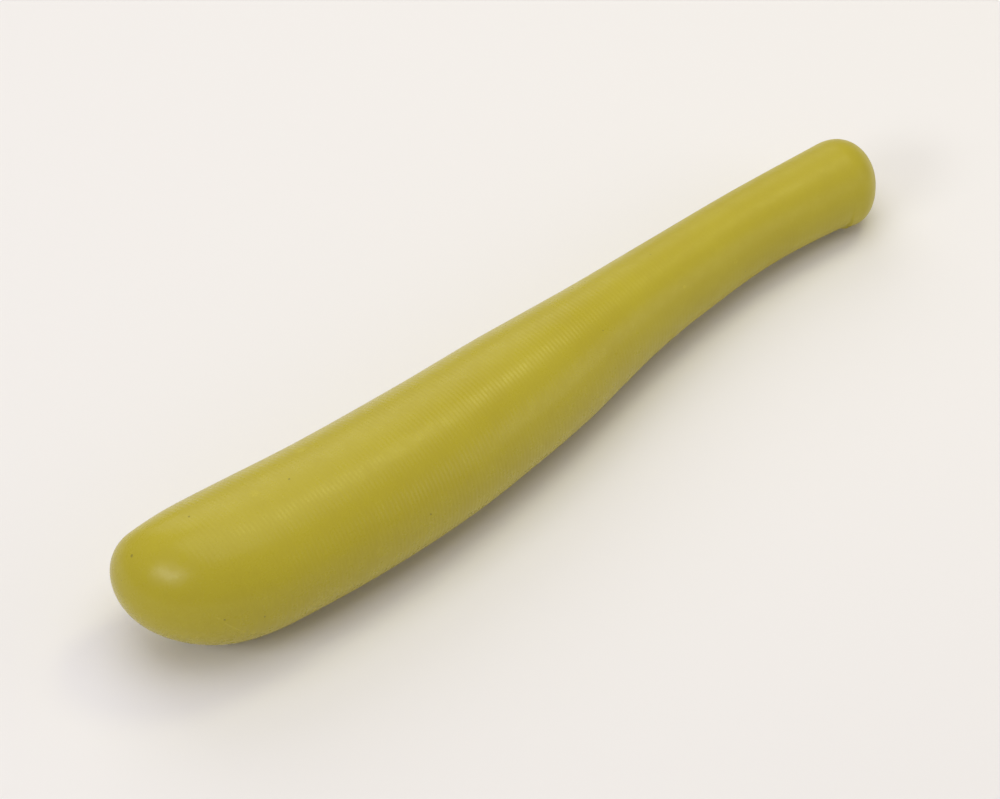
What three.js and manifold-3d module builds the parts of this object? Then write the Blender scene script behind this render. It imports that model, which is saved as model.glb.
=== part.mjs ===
// A lead worker's bossing stick: one solid bar of polyethylene, turned to shape on a copy lathe.
// Millimetres. It lies on its flank on a table at Z = 0. +X runs from the nose to the handle end,
// +Y is the straight back and -Y is the swept working face.

import * as THREE from 'three';
import { mergeVertices } from 'three/addons/utils/BufferGeometryUtils.js';
import Module from 'manifold-3d';

const LENGTH = 360;

// How far the back and the working face stand from the turning axis, from nose to handle end.
const OUTLINE = [
  { x: 0, back: 21.2, face: 36.0 },
  { x: 40, back: 20.2, face: 38.6 },
  { x: 85, back: 17.4, face: 40.8 },
  { x: 130, back: 16.8, face: 39.4 },
  { x: 170, back: 17.4, face: 34.2 },
  { x: 195, back: 17.2, face: 29.8 },
  { x: 215, back: 17.2, face: 25.0 },
  { x: 235, back: 17.6, face: 20.4 },
  { x: 260, back: 18.2, face: 16.4 },
  { x: 305, back: 18.8, face: 12.8 },
  { x: LENGTH, back: 16.8, face: 16.8 },
];

// Sections are ellipses: a little thinner than deep along the body, round along the handle.
const BODY_FLATNESS = 0.9;
const BODY_END = 130;
const HANDLE_START = 260;

// How far along X the elliptical roundings of the nose and the handle end reach.
const NOSE_BACK = 15;
const NOSE_FACE = 49;
const NOSE_FLANK = 35;
const END_DOME = 15.5;

// The handle end is slightly oblique: its back edge reaches further out than its face edge.
const END_SLANT = 0.2;
const END_SLANT_RUN = 30;

// A small trimmed lip stands proud on one side of the handle end, between the working face and
// the flank that lies down.
const LIP_START = 338.5;
const LIP_RUN = 1.5;
const LIP_HEIGHT = 1;
const LIP_ANGLE = THREE.MathUtils.degToRad(216);
const LIP_SPREAD = THREE.MathUtils.degToRad(45);

// At rest the stick balances on the thick of its flank, on a small flat as deep as this, with the
// handle end dipped until it is just clear of the table.
const REST_TILT = THREE.MathUtils.degToRad(2.06);
const REST_FLAT_DEPTH = 0.6;

const RINGS = 58;
const SIDES = 48;

const wasm = await Module();
wasm.setup();

// A smooth curve through the outline's points.
function outlineAt(x, side) {
  const last = OUTLINE.length - 2;
  const found = OUTLINE.findIndex((station) => station.x > x) - 1;
  const i = found < 0 ? last : found;
  const slope = (k) => {
    const before = OUTLINE[Math.max(k - 1, 0)];
    const after = OUTLINE[Math.min(k + 1, last + 1)];
    return (after[side] - before[side]) / (after.x - before.x);
  };
  const step = OUTLINE[i + 1].x - OUTLINE[i].x;
  const s = (x - OUTLINE[i].x) / step;
  const blend = s * s * (3 - 2 * s);
  const startSlope = s * (1 - s) * (1 - s) * step * slope(i);
  const endSlope = s * s * (s - 1) * step * slope(i + 1);
  return OUTLINE[i][side] * (1 - blend) + OUTLINE[i + 1][side] * blend + startSlope + endSlope;
}

// 0 at the tip of a rounded end, 1 from its reach onwards.
function rounding(distance, reach) {
  const inner = Math.max(1 - distance / reach, 0);
  return Math.sqrt(1 - inner * inner);
}

// How far the lip stands out of the section, before the dome closes it.
function lipHeight(x, angle) {
  const presence = THREE.MathUtils.smoothstep(x, LIP_START, LIP_START + LIP_RUN);
  const away = THREE.MathUtils.smoothstep(Math.abs(angle - LIP_ANGLE), 0, LIP_SPREAD);
  return LIP_HEIGHT * presence * (1 - away);
}

function sectionPoint(x, angle) {
  const fullBack = outlineAt(x, 'back');
  const fullFace = outlineAt(x, 'face');
  const back = fullBack * rounding(x, NOSE_BACK);
  const face = fullFace * rounding(x, NOSE_FACE);
  const dome = rounding(LENGTH - x, END_DOME);
  const roundness = THREE.MathUtils.smoothstep(x, BODY_END, HANDLE_START);
  const flatness = THREE.MathUtils.lerp(BODY_FLATNESS, 1, roundness);

  const halfDepth = ((back + face) / 2) * dome;
  const halfThickness = ((fullBack + fullFace) / 2) * flatness * rounding(x, NOSE_FLANK) * dome;
  const ellipse = 1 / Math.hypot(Math.cos(angle) / halfDepth, Math.sin(angle) / halfThickness);
  const radius = ellipse + lipHeight(x, angle) * dome;

  const offset = radius * Math.cos(angle);
  const slant = END_SLANT * THREE.MathUtils.smoothstep(x, LENGTH - END_SLANT_RUN, LENGTH);
  return [x + slant * offset, (back - face) / 2 + offset, radius * Math.sin(angle)];
}

// Rings stand closer together towards both ends and where the lip starts.
function ringPlaces() {
  const places = [LIP_START, LIP_START + LIP_RUN / 2, LIP_START + LIP_RUN];
  for (let i = 1; i < RINGS; i += 1) {
    places.push((LENGTH * (1 - Math.cos((Math.PI * i) / RINGS))) / 2);
  }
  return places.sort((a, b) => a - b);
}

function stickGeometry() {
  const places = ringPlaces();
  const points = [[0, 0, 0]];
  for (const x of places) {
    for (let k = 0; k < SIDES; k += 1) points.push(sectionPoint(x, (2 * Math.PI * k) / SIDES));
  }
  const endMiddle = (outlineAt(LENGTH, 'back') - outlineAt(LENGTH, 'face')) / 2;
  points.push([LENGTH, endMiddle, 0]);

  const nose = 0;
  const end = points.length - 1;
  const vertex = (ring, k) => 1 + ring * SIDES + (k % SIDES);
  const triangles = [];
  for (let k = 0; k < SIDES; k += 1) {
    triangles.push(nose, vertex(0, k + 1), vertex(0, k));
    for (let ring = 0; ring < places.length - 1; ring += 1) {
      triangles.push(vertex(ring, k), vertex(ring, k + 1), vertex(ring + 1, k));
      triangles.push(vertex(ring, k + 1), vertex(ring + 1, k + 1), vertex(ring + 1, k));
    }
    triangles.push(end, vertex(places.length - 1, k), vertex(places.length - 1, k + 1));
  }
  const geometry = new THREE.BufferGeometry();
  geometry.setAttribute('position', new THREE.Float32BufferAttribute(points.flat(), 3));
  geometry.setIndex(triangles);
  return geometry;
}

function solidOf(geometry) {
  const bare = geometry.clone();
  bare.deleteAttribute('normal');
  bare.deleteAttribute('uv');
  const merged = mergeVertices(bare);
  const vertProperties = new Float32Array(merged.attributes.position.array);
  const triVerts = new Uint32Array(merged.index.array);
  return new wasm.Manifold(new wasm.Mesh({ numProp: 3, vertProperties, triVerts }));
}

function geometryOf(solid) {
  const mesh = solid.getMesh();
  const geometry = new THREE.BufferGeometry();
  geometry.setAttribute('position', new THREE.BufferAttribute(mesh.vertProperties, 3));
  geometry.setIndex(new THREE.BufferAttribute(mesh.triVerts, 1));
  geometry.computeVertexNormals();
  return geometry;
}

// Lays the stick on the table and takes off what would stand below it.
function restingStick() {
  const stick = stickGeometry().rotateY(REST_TILT);
  stick.computeBoundingBox();
  stick.translate(0, 0, -stick.boundingBox.min.z - REST_FLAT_DEPTH);
  const tableThickness = 10;
  const table = new THREE.BoxGeometry(3 * LENGTH, LENGTH, tableThickness);
  table.translate(0, 0, -tableThickness / 2);
  return geometryOf(solidOf(stick).subtract(solidOf(table)));
}

const plastic = new THREE.MeshStandardMaterial({ color: 0xb8aa3e, roughness: 0.45, metalness: 0 });

const stick = new THREE.Mesh(restingStick(), plastic);
stick.name = 'bossing_stick';
stick.geometry.computeBoundingBox();
const middle = stick.geometry.boundingBox.getCenter(new THREE.Vector3());
stick.position.set(-middle.x, -middle.y, 0);

const part = new THREE.Group();
part.add(stick);

export default part;
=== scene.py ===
"""A lead worker's bossing stick in turned yellow-green polyethylene, lying on its flank.

The stick's surface is made here at full fineness, with the ribs that the copy lathe left. Sizes are
in millimetres and become metres in the mesh. +X runs from the nose to the handle end, +Y is the
straight back and -Y the swept working face.
"""

import math

import bpy
import numpy as np
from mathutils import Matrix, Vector


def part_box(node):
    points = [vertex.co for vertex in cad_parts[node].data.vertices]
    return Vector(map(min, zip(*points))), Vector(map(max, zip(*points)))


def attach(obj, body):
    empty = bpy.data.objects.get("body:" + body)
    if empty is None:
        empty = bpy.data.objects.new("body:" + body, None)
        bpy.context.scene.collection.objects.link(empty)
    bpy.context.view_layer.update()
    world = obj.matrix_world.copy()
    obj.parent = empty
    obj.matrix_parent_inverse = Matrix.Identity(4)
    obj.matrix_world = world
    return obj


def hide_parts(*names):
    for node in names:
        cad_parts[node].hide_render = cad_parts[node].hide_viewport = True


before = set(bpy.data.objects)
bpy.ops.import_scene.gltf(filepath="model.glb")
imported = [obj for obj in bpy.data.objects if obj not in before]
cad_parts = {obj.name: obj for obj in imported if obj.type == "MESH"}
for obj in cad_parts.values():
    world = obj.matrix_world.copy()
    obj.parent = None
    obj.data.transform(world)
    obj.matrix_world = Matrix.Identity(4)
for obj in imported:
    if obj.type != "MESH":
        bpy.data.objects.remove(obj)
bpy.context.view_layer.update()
NODE = "bossing_stick"
LOW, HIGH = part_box(NODE)

MM = 0.001

# ---- the stick's shape, in millimetres, as the frame has it ----

LENGTH = 360
# Stations along X, with the distance from the turning axis to the back and to the working face.
STATIONS = [0, 40, 85, 130, 170, 195, 215, 235, 260, 305, LENGTH]
BACK = [21.2, 20.2, 17.4, 16.8, 17.4, 17.2, 17.2, 17.6, 18.2, 18.8, 16.8]
FACE = [36.0, 38.6, 40.8, 39.4, 34.2, 29.8, 25.0, 20.4, 16.4, 12.8, 16.8]

# Sections are ellipses: a little thinner than deep along the body, round along the handle.
BODY_FLATNESS = 0.9
BODY_END = 130
HANDLE_START = 260

# How far along X the elliptical roundings of the nose and the handle end reach.
NOSE_BACK = 15
NOSE_FACE = 49
NOSE_FLANK = 35
END_DOME = 15.5

# The handle end is slightly oblique: its back edge reaches further out than its face edge.
END_SLANT = 0.2
END_SLANT_RUN = 30

# The small trimmed lip at the handle end, between the working face and the flank that lies down.
LIP_START = 338.5
LIP_RUN = 1.5
LIP_HEIGHT = 1
LIP_ANGLE = math.radians(216)
LIP_SPREAD = math.radians(45)

REST_TILT = math.radians(2.06)

# Feed marks of the lathe: one shallow rib for each turn of the bar, deepest on the body and shallow
# on the handle.
RIB_PITCH = 1.8
RIB_DEPTH = 0.08
HANDLE_RIB_DEPTH = 0.025
BODY_RIBS_END = 150
HANDLE_RIBS_START = 270

# The depth wavers by this share, in two waves along the stick.
RIB_UNEVENNESS = 0.25
SHORT_WAVE = 23
LONG_WAVE = 41

# Both tips are free of ribs, and the ribs fade in from there.
RIB_FREE_NOSE = 14
NOSE_RIB_FADE = 16
RIB_FREE_END = 8
END_RIB_FADE = 12

# The mesh: rings to each rib, closer rings over a short reach at each tip, and points to a ring.
RIB_RINGS = 6
TIP_REACH = 10
TIP_RINGS = 48
SIDES = 128


def smoothstep(value, start, end):
    s = np.clip((value - start) / (end - start), 0, 1)
    return s * s * (3 - 2 * s)


def outline(places, distances):
    """A smooth curve through the stations, at each place along X."""
    stations = np.array(STATIONS, float)
    values = np.array(distances, float)
    slopes = np.empty_like(values)
    slopes[1:-1] = (values[2:] - values[:-2]) / (stations[2:] - stations[:-2])
    slopes[0] = (values[1] - values[0]) / (stations[1] - stations[0])
    slopes[-1] = (values[-1] - values[-2]) / (stations[-1] - stations[-2])
    i = np.clip(np.searchsorted(stations, places, side="right") - 1, 0, len(stations) - 2)
    step = stations[i + 1] - stations[i]
    s = (places - stations[i]) / step
    blend = s * s * (3 - 2 * s)
    curve = values[i] * (1 - blend) + values[i + 1] * blend
    return curve + step * s * (1 - s) * ((1 - s) * slopes[i] - s * slopes[i + 1])


def rounding(distance, reach):
    """0 at the tip of a rounded end, 1 from its reach onwards."""
    inner = np.clip(1 - distance / reach, 0, 1)
    return np.sqrt(1 - inner**2)


def lip_height(x, angles):
    """How far the lip stands out of the section, before the dome closes it."""
    presence = smoothstep(x, LIP_START, LIP_START + LIP_RUN)
    away = smoothstep(np.abs(angles - LIP_ANGLE), 0, LIP_SPREAD)
    return LIP_HEIGHT * presence * (1 - away)


def ring_places():
    """Places along X for the rings: a few to each rib, and closer towards the two tips."""
    spacing = RIB_PITCH / RIB_RINGS
    close = TIP_REACH * (np.arange(1, TIP_RINGS + 1) / TIP_RINGS) ** 2
    along = np.arange(TIP_REACH + spacing, LENGTH - TIP_REACH, spacing)
    return np.concatenate([close, along, LENGTH - close[::-1]])


def smooth_surface(places, angles):
    """Points of the smooth stick, one row for each ring, with the turning axis along X."""
    x = places[:, None]
    full_back = outline(x, BACK)
    full_face = outline(x, FACE)
    back = full_back * rounding(x, NOSE_BACK)
    face = full_face * rounding(x, NOSE_FACE)
    dome = rounding(LENGTH - x, END_DOME)
    flatness = BODY_FLATNESS + (1 - BODY_FLATNESS) * smoothstep(x, BODY_END, HANDLE_START)
    half_depth = (back + face) / 2 * dome
    half_thickness = (full_back + full_face) / 2 * flatness * rounding(x, NOSE_FLANK) * dome
    ellipse = 1 / np.hypot(np.cos(angles) / half_depth, np.sin(angles) / half_thickness)
    radius = ellipse + lip_height(x, angles) * dome

    offset = radius * np.cos(angles)
    slant = END_SLANT * smoothstep(x, LENGTH - END_SLANT_RUN, LENGTH)
    return np.stack([x + slant * offset, (back - face) / 2 + offset, radius * np.sin(angles)], -1)


def outward_normals(points):
    """The surface's direction at each point, from its neighbours along and around."""
    along = np.gradient(points, axis=0)
    around = np.roll(points, -1, axis=1) - np.roll(points, 1, axis=1)
    normals = np.cross(around, along)
    return normals / np.linalg.norm(normals, axis=-1, keepdims=True)


def rib_depths(places):
    """How deep the surface is cut at each place: scallops of uneven depth."""
    waves = np.sin(places / SHORT_WAVE) * np.sin(places / LONG_WAVE + 1)
    evenness = 1 - RIB_UNEVENNESS + RIB_UNEVENNESS * waves
    nose_fade = smoothstep(places, RIB_FREE_NOSE, RIB_FREE_NOSE + NOSE_RIB_FADE)
    end_fade = smoothstep(LENGTH - places, RIB_FREE_END, RIB_FREE_END + END_RIB_FADE)
    on_handle = smoothstep(places, BODY_RIBS_END, HANDLE_RIBS_START)
    depth = RIB_DEPTH + (HANDLE_RIB_DEPTH - RIB_DEPTH) * on_handle
    scallops = 0.5 - 0.5 * np.cos(2 * np.pi * places / RIB_PITCH)
    return depth * evenness * nose_fade * end_fade * scallops


def at_rest(points):
    """The lying stick's points in metres, before it is shifted onto its place in the frame."""
    x, y, z = points[..., 0], points[..., 1], points[..., 2]
    level = x * math.cos(REST_TILT) + z * math.sin(REST_TILT)
    height = z * math.cos(REST_TILT) - x * math.sin(REST_TILT)
    return np.stack([level, y, height], -1) * MM


def on_surface(x, angle):
    """The point of the lying stick at a place along it and an angle round it."""
    return at_rest(smooth_surface(np.array([float(x)]), np.array([angle])))[0, 0]


def make_stick():
    """The stick, and the shift that brought it to its place in the frame."""
    places = ring_places()
    angles = np.arange(SIDES) * 2 * np.pi / SIDES
    rings = smooth_surface(places, angles)
    rings -= outward_normals(rings) * rib_depths(places)[:, None, None]
    end_middle = (BACK[-1] - FACE[-1]) / 2
    points = np.vstack([[[0, 0, 0]], rings.reshape(-1, 3), [[LENGTH, end_middle, 0]]])

    placed = at_rest(points)
    shift = np.array((LOW + HIGH) / 2) - (placed.min(0) + placed.max(0)) / 2
    shift[2] = HIGH.z - placed[:, 2].max()
    placed += shift
    placed[:, 2] = np.maximum(placed[:, 2], LOW.z)

    count = len(places)
    ring, k = np.meshgrid(np.arange(count - 1), np.arange(SIDES), indexing="ij")
    here = 1 + ring * SIDES + k
    beside = 1 + ring * SIDES + (k + 1) % SIDES
    quads = np.stack([here, beside, beside + SIDES, here + SIDES], -1).reshape(-1, 4)
    k = np.arange(SIDES)
    last = 1 + (count - 1) * SIDES
    nose = np.stack([0 * k, 1 + (k + 1) % SIDES, 1 + k], -1)
    end = np.stack([0 * k + len(points) - 1, last + k, last + (k + 1) % SIDES], -1)

    mesh = bpy.data.meshes.new("turned_stick")
    mesh.from_pydata(placed.tolist(), [], nose.tolist() + quads.tolist() + end.tolist())
    mesh.shade_smooth()
    mesh.update()
    stick = bpy.data.objects.new("turned_stick", mesh)
    bpy.context.collection.objects.link(stick)
    return stick, shift


# ---- material ----

# Marks on the surface: place along the stick in millimetres, angle round it in degrees, radius in
# millimetres. Angle 0 is the back, 90 the upper flank and 180 the working face.
# Spots of dark dirt, and one painted shade: the large spot at 340 mm and 214 degrees darkens the
# underside of the handle-end lip.
DARK_SPECKS_AND_LIP_SHADE = [
    (7, 69, 0.75), (28, 76, 0.5), (66, 87, 0.45), (106, 167, 0.5), (20, 175, 0.45), (33, 180, 0.5),
    (208, 124, 0.35), (249, 82, 0.4), (340, 214, 1.1), (150, 300, 0.5), (86, 262, 0.6), (298, 20, 0.4),
]
PALE_RUBS = [
    (279, 153, 1.3), (252, 141, 1.1), (30, 197, 1.3), (80, 60, 2.6), (52, 84, 2.2), (120, 215, 1.8),
]
# Scratches run from one place on the surface to another.
SCRATCHES = [
    ((18, 172), (23, 186)),
    ((23, 186), (30, 199)),
    ((96, 243), (112, 236)),
    ((262, 318), (271, 309)),
    ((136, 41), (149, 38)),
]
SCRATCH_WIDTH = 0.4

# The part of a mark's radius or width that has its full strength.
SPOT_CORE = 0.55
SCRATCH_CORE = 0.3

# How much each kind of mark changes the colour, from 0 to 1.
SPECK_AND_SHADE_STRENGTH = 0.6
DUST_STRENGTH = 0.5
RUB_STRENGTH = 0.5
SCRATCH_STRENGTH = 0.8

YELLOW = (0.475, 0.411, 0.031, 1)
DEEP_YELLOW = (0.445, 0.377, 0.027, 1)
# The brown of the dirt spots and dust, also used for the painted shade under the handle-end lip.
SPECK_AND_SHADE_BROWN = (0.17, 0.135, 0.03, 1)
RUBBED_YELLOW = (0.56, 0.49, 0.05, 1)

# Noises, in waves to a millimetre with their detail, and the values between which they count.
BROAD = (0.028, 3)
MIDDLING = (0.22, 4)
GRAIN = (1.1, 4)
LUMPS = (0.45, 2)
NOISE_RANGE = (0.3, 0.7)
BROAD_RANGE = (0.35, 0.65)
SCRATCH_BREAKS = (0.35, 0.55)
RUB_PATCHES = (0.4, 0.62)

# How much of the way to the deep yellow each noise goes.
BROAD_SHARE = 0.5
MIDDLING_SHARE = 0.3
GRAIN_SHARE = 0.2

# How far the grain pushes the edges of the spots about, in millimetres.
RAGGEDNESS = Vector((1, 0.6, -0.8))

# Fine dust: cells to a millimetre, the share of cells that hold no grain, and a grain's radius in
# cells. Each pair is where an edge begins and ends.
DUST_CELLS = 0.085
DUST_FREE = (0.62, 0.66)
DUST_SIZE = (0.012, 0.03)

PLASTIC_IOR = 1.5
SPECULAR_LEVEL = 0.26

# Smoothest on the nose, with a little extra roughness on the body and more on the handle. Each pair
# of places is where the extra begins and where it is full, along X in millimetres.
NOSE_ROUGHNESS = (0.24, 0.32)
BODY_PLACES = (-165, -125)
BODY_EXTRA = 0.02
HANDLE_PLACES = (20, 100)
HANDLE_EXTRA = 0.1
GRAIN_EXTRA = 0.02
RUB_EXTRA = 0.08

# Bump depths in millimetres.
LUMP_DEPTH = 0.02
GRAIN_DEPTH = 0.003
MARK_DEPTH = 0.05


def link_or_set(tree, socket, value):
    if isinstance(value, bpy.types.NodeSocket):
        tree.links.new(value, socket)
    else:
        socket.default_value = value


def number(tree, operation, first, second=0.0):
    made = tree.nodes.new("ShaderNodeMath")
    made.operation = operation
    link_or_set(tree, made.inputs[0], first)
    link_or_set(tree, made.inputs[1], second)
    return made.outputs[0]


def vector(tree, operation, first, second):
    made = tree.nodes.new("ShaderNodeVectorMath")
    made.operation = operation
    link_or_set(tree, made.inputs[0], first)
    link_or_set(tree, made.inputs[1], second)
    return made.outputs["Value" if operation in ("DISTANCE", "DOT_PRODUCT") else "Vector"]


def scaled(tree, first, factor):
    made = tree.nodes.new("ShaderNodeVectorMath")
    made.operation = "SCALE"
    link_or_set(tree, made.inputs[0], first)
    link_or_set(tree, made.inputs["Scale"], factor)
    return made.outputs["Vector"]


def noise(tree, place, kind):
    scale, detail = kind
    made = tree.nodes.new("ShaderNodeTexNoise")
    made.inputs["Scale"].default_value = scale
    made.inputs["Detail"].default_value = detail
    tree.links.new(place, made.inputs["Vector"])
    return made.outputs["Fac"]


def remap(tree, value, low, high, to_low=0.0, to_high=1.0):
    made = tree.nodes.new("ShaderNodeMapRange")
    made.interpolation_type = "SMOOTHSTEP"
    for socket, setting in zip(made.inputs, (value, low, high, to_low, to_high)):
        link_or_set(tree, socket, setting)
    return made.outputs[0]


def mix_colours(tree, factor, first, second):
    """The node's sockets 6 and 7 are its two colours, and its output 2 is their mix."""
    made = tree.nodes.new("ShaderNodeMix")
    made.data_type = "RGBA"
    link_or_set(tree, made.inputs["Factor"], factor)
    link_or_set(tree, made.inputs[6], first)
    link_or_set(tree, made.inputs[7], second)
    return made.outputs[2]


def bump(tree, height, depth, before=None):
    """Raises the surface by the height times the depth in millimetres."""
    made = tree.nodes.new("ShaderNodeBump")
    made.inputs["Distance"].default_value = depth * MM
    tree.links.new(height, made.inputs["Height"])
    if before:
        tree.links.new(before, made.inputs["Normal"])
    return made.outputs["Normal"]


def spot(tree, place, centre, radius):
    """1 inside a round mark, 0 outside."""
    distance = vector(tree, "DISTANCE", place, centre)
    return remap(tree, distance, SPOT_CORE * radius, radius, 1.0, 0.0)


def line(tree, place, start, end, width):
    """1 on the straight stretch between two points, 0 beside it."""
    run = end - start
    from_start = vector(tree, "SUBTRACT", place, start)
    along = number(tree, "DIVIDE", vector(tree, "DOT_PRODUCT", from_start, run), run.length_squared)
    clamped = number(tree, "MINIMUM", number(tree, "MAXIMUM", along, 0.0), 1.0)
    nearest = scaled(tree, run, clamped)
    distance = vector(tree, "DISTANCE", from_start, nearest)
    return remap(tree, distance, SCRATCH_CORE * width, width, 1.0, 0.0)


def combined(tree, operation, values):
    """All the values put together by one operation, two at a time."""
    result = values[0]
    for value in values[1:]:
        result = number(tree, operation, result, value)
    return result


def dust(tree, place):
    """Fine dark dust pressed into the plastic, one grain to some cells."""
    made = tree.nodes.new("ShaderNodeTexVoronoi")
    made.inputs["Scale"].default_value = DUST_CELLS
    tree.links.new(place, made.inputs["Vector"])
    split = tree.nodes.new("ShaderNodeSeparateColor")
    tree.links.new(made.outputs["Color"], split.inputs[0])
    chosen = remap(tree, split.outputs[0], *DUST_FREE)
    dot = remap(tree, made.outputs["Distance"], *DUST_SIZE, 1.0, 0.0)
    return number(tree, "MULTIPLY", chosen, dot)


def plastic_material(shift):
    def point(mark):
        return Vector(on_surface(mark[0], math.radians(mark[1])) + shift) / MM

    material = bpy.data.materials.new("yellow_green_polyethylene")
    material.use_nodes = True
    tree = material.node_tree
    shader = tree.nodes["Principled BSDF"]
    shader.inputs["IOR"].default_value = PLASTIC_IOR
    shader.inputs["Specular IOR Level"].default_value = SPECULAR_LEVEL

    coordinates = tree.nodes.new("ShaderNodeTexCoord").outputs["Object"]
    place = scaled(tree, coordinates, 1 / MM)

    broad = noise(tree, place, BROAD)
    middling = noise(tree, place, MIDDLING)
    grain = noise(tree, place, GRAIN)
    lumps = noise(tree, place, LUMPS)

    pushed = vector(tree, "ADD", place, scaled(tree, RAGGEDNESS, grain))
    ragged = vector(tree, "SUBTRACT", pushed, RAGGEDNESS / 2)
    # Dirt spots together with the painted shade under the handle-end lip.
    specks_and_lip_shade = combined(tree, "MAXIMUM", [
        spot(tree, ragged, point(mark), mark[2]) for mark in DARK_SPECKS_AND_LIP_SHADE
    ])
    rubs = combined(tree, "MAXIMUM", [
        spot(tree, ragged, point(mark), mark[2]) for mark in PALE_RUBS
    ])
    whole_scratches = combined(tree, "MAXIMUM", [
        line(tree, place, point(start), point(end), SCRATCH_WIDTH) for start, end in SCRATCHES
    ])
    breaks = remap(tree, middling, *SCRATCH_BREAKS)
    scratches = number(tree, "MULTIPLY", whole_scratches, breaks)

    tone = combined(tree, "ADD", [
        remap(tree, broad, *BROAD_RANGE, 0.0, BROAD_SHARE),
        remap(tree, middling, *NOISE_RANGE, 0.0, MIDDLING_SHARE),
        remap(tree, grain, *NOISE_RANGE, 0.0, GRAIN_SHARE),
    ])
    rubbed = number(tree, "MULTIPLY", rubs, remap(tree, grain, *RUB_PATCHES, 0.0, RUB_STRENGTH))
    scratched = number(tree, "MULTIPLY", scratches, SCRATCH_STRENGTH)
    darkened = combined(tree, "MAXIMUM", [
        number(tree, "MULTIPLY", specks_and_lip_shade, SPECK_AND_SHADE_STRENGTH),
        number(tree, "MULTIPLY", dust(tree, place), DUST_STRENGTH),
    ])
    colour = mix_colours(tree, tone, YELLOW, DEEP_YELLOW)
    colour = mix_colours(tree, rubbed, colour, RUBBED_YELLOW)
    colour = mix_colours(tree, scratched, colour, RUBBED_YELLOW)
    colour = mix_colours(tree, darkened, colour, SPECK_AND_SHADE_BROWN)
    tree.links.new(colour, shader.inputs["Base Color"])

    split = tree.nodes.new("ShaderNodeSeparateXYZ")
    tree.links.new(place, split.inputs[0])
    along = split.outputs["X"]
    roughness = combined(tree, "ADD", [
        remap(tree, middling, *NOISE_RANGE, *NOSE_ROUGHNESS),
        remap(tree, along, *BODY_PLACES, 0.0, BODY_EXTRA),
        remap(tree, along, *HANDLE_PLACES, 0.0, HANDLE_EXTRA),
        remap(tree, grain, *NOISE_RANGE, -GRAIN_EXTRA, GRAIN_EXTRA),
        number(tree, "MULTIPLY", rubs, RUB_EXTRA),
    ])
    tree.links.new(roughness, shader.inputs["Roughness"])

    cut = number(tree, "SUBTRACT", 1.0, number(tree, "MAXIMUM", scratches, specks_and_lip_shade))
    normal = bump(tree, lumps, LUMP_DEPTH)
    normal = bump(tree, grain, GRAIN_DEPTH, normal)
    normal = bump(tree, cut, MARK_DEPTH, normal)
    tree.links.new(normal, shader.inputs["Normal"])
    return material


# ---- stage ----

FLOOR_SIZE = 14
FLOOR_WHITE = (0.85, 0.85, 0.85, 1)
FLOOR_ROUGHNESS = 0.9


def make_floor():
    bpy.ops.mesh.primitive_plane_add(size=FLOOR_SIZE, location=(0, 0, LOW.z))
    floor = bpy.context.object
    floor.name = "floor"
    material = bpy.data.materials.new("pale_floor")
    material.use_nodes = True
    shader = material.node_tree.nodes["Principled BSDF"]
    shader.inputs["Base Color"].default_value = FLOOR_WHITE
    shader.inputs["Roughness"].default_value = FLOOR_ROUGHNESS
    floor.data.materials.append(material)


WHITE = (1, 1, 1)
WARM = (1, 0.97, 0.5)

# Softboxes round the stick: azimuth from +X and elevation in degrees, distance, width and height in
# metres, power in watts, and colour.
SOFTBOXES = [
    ("overhead", 90, 90, 1.6, 1.6, 1.6, 11.5, WHITE),
    ("left_lamp", 181.5, 35, 1.6, 0.8, 0.35, 5.6, WHITE),
    ("left_box", 135, 35, 1.6, 1.3, 1.1, 0.6, WHITE),
    ("right_lamp", 6, 57, 1.6, 0.4, 0.35, 3.2, WARM),
    ("right_box", 318, 20, 0.9, 0.6, 0.4, 1, WHITE),
    ("back_box", 70, 38, 1.6, 1.3, 1.1, 6, WHITE),
]

# Faint even light from all round.
FILL_COLOUR = (1, 0.86, 0.88, 1)
FILL_STRENGTH = 0.31


def direction(azimuth, elevation):
    """The unit vector at an azimuth from +X and an elevation, both in degrees."""
    level = math.cos(math.radians(elevation))
    return Vector((
        math.cos(math.radians(azimuth)) * level,
        math.sin(math.radians(azimuth)) * level,
        math.sin(math.radians(elevation)),
    ))


def make_lights():
    for name, azimuth, elevation, distance, width, height, watts, colour in SOFTBOXES:
        data = bpy.data.lights.new(name, "AREA")
        data.shape = "RECTANGLE"
        data.size = width
        data.size_y = height
        data.energy = watts
        data.color = colour
        lamp = bpy.data.objects.new(name, data)
        bpy.context.collection.objects.link(lamp)
        towards = direction(azimuth, elevation)
        lamp.location = towards * distance
        lamp.rotation_euler = towards.to_track_quat("Z", "Y").to_euler()

    world = bpy.data.worlds.new("studio")
    world.use_nodes = True
    background = world.node_tree.nodes["Background"]
    background.inputs["Color"].default_value = FILL_COLOUR
    background.inputs["Strength"].default_value = FILL_STRENGTH
    bpy.context.scene.world = world


# The camera's azimuth is from +X, like the lights'. Its distance is in metres from the point that it
# looks at, and the lens and the sensor are in millimetres.
CAMERA_AZIMUTH = -131.1
CAMERA_ELEVATION = 45.6
CAMERA_DISTANCE = 1.9
CAMERA_TARGET = Vector((-0.0125, 0.0034, 0.0233))
CAMERA_LENS = 187.8
CAMERA_SENSOR = 36


def make_camera():
    data = bpy.data.cameras.new("camera")
    data.lens = CAMERA_LENS
    data.sensor_width = CAMERA_SENSOR
    camera = bpy.data.objects.new("camera", data)
    bpy.context.collection.objects.link(camera)
    back = direction(CAMERA_AZIMUTH, CAMERA_ELEVATION)
    camera.location = CAMERA_TARGET + back * CAMERA_DISTANCE
    camera.rotation_euler = back.to_track_quat("Z", "Y").to_euler()
    bpy.context.scene.camera = camera


make_camera()
stick, shift = make_stick()
stick.data.materials.append(plastic_material(shift))
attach(stick, "root")
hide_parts(NODE)
make_floor()
make_lights()
bpy.context.scene.view_settings.view_transform = "Standard"
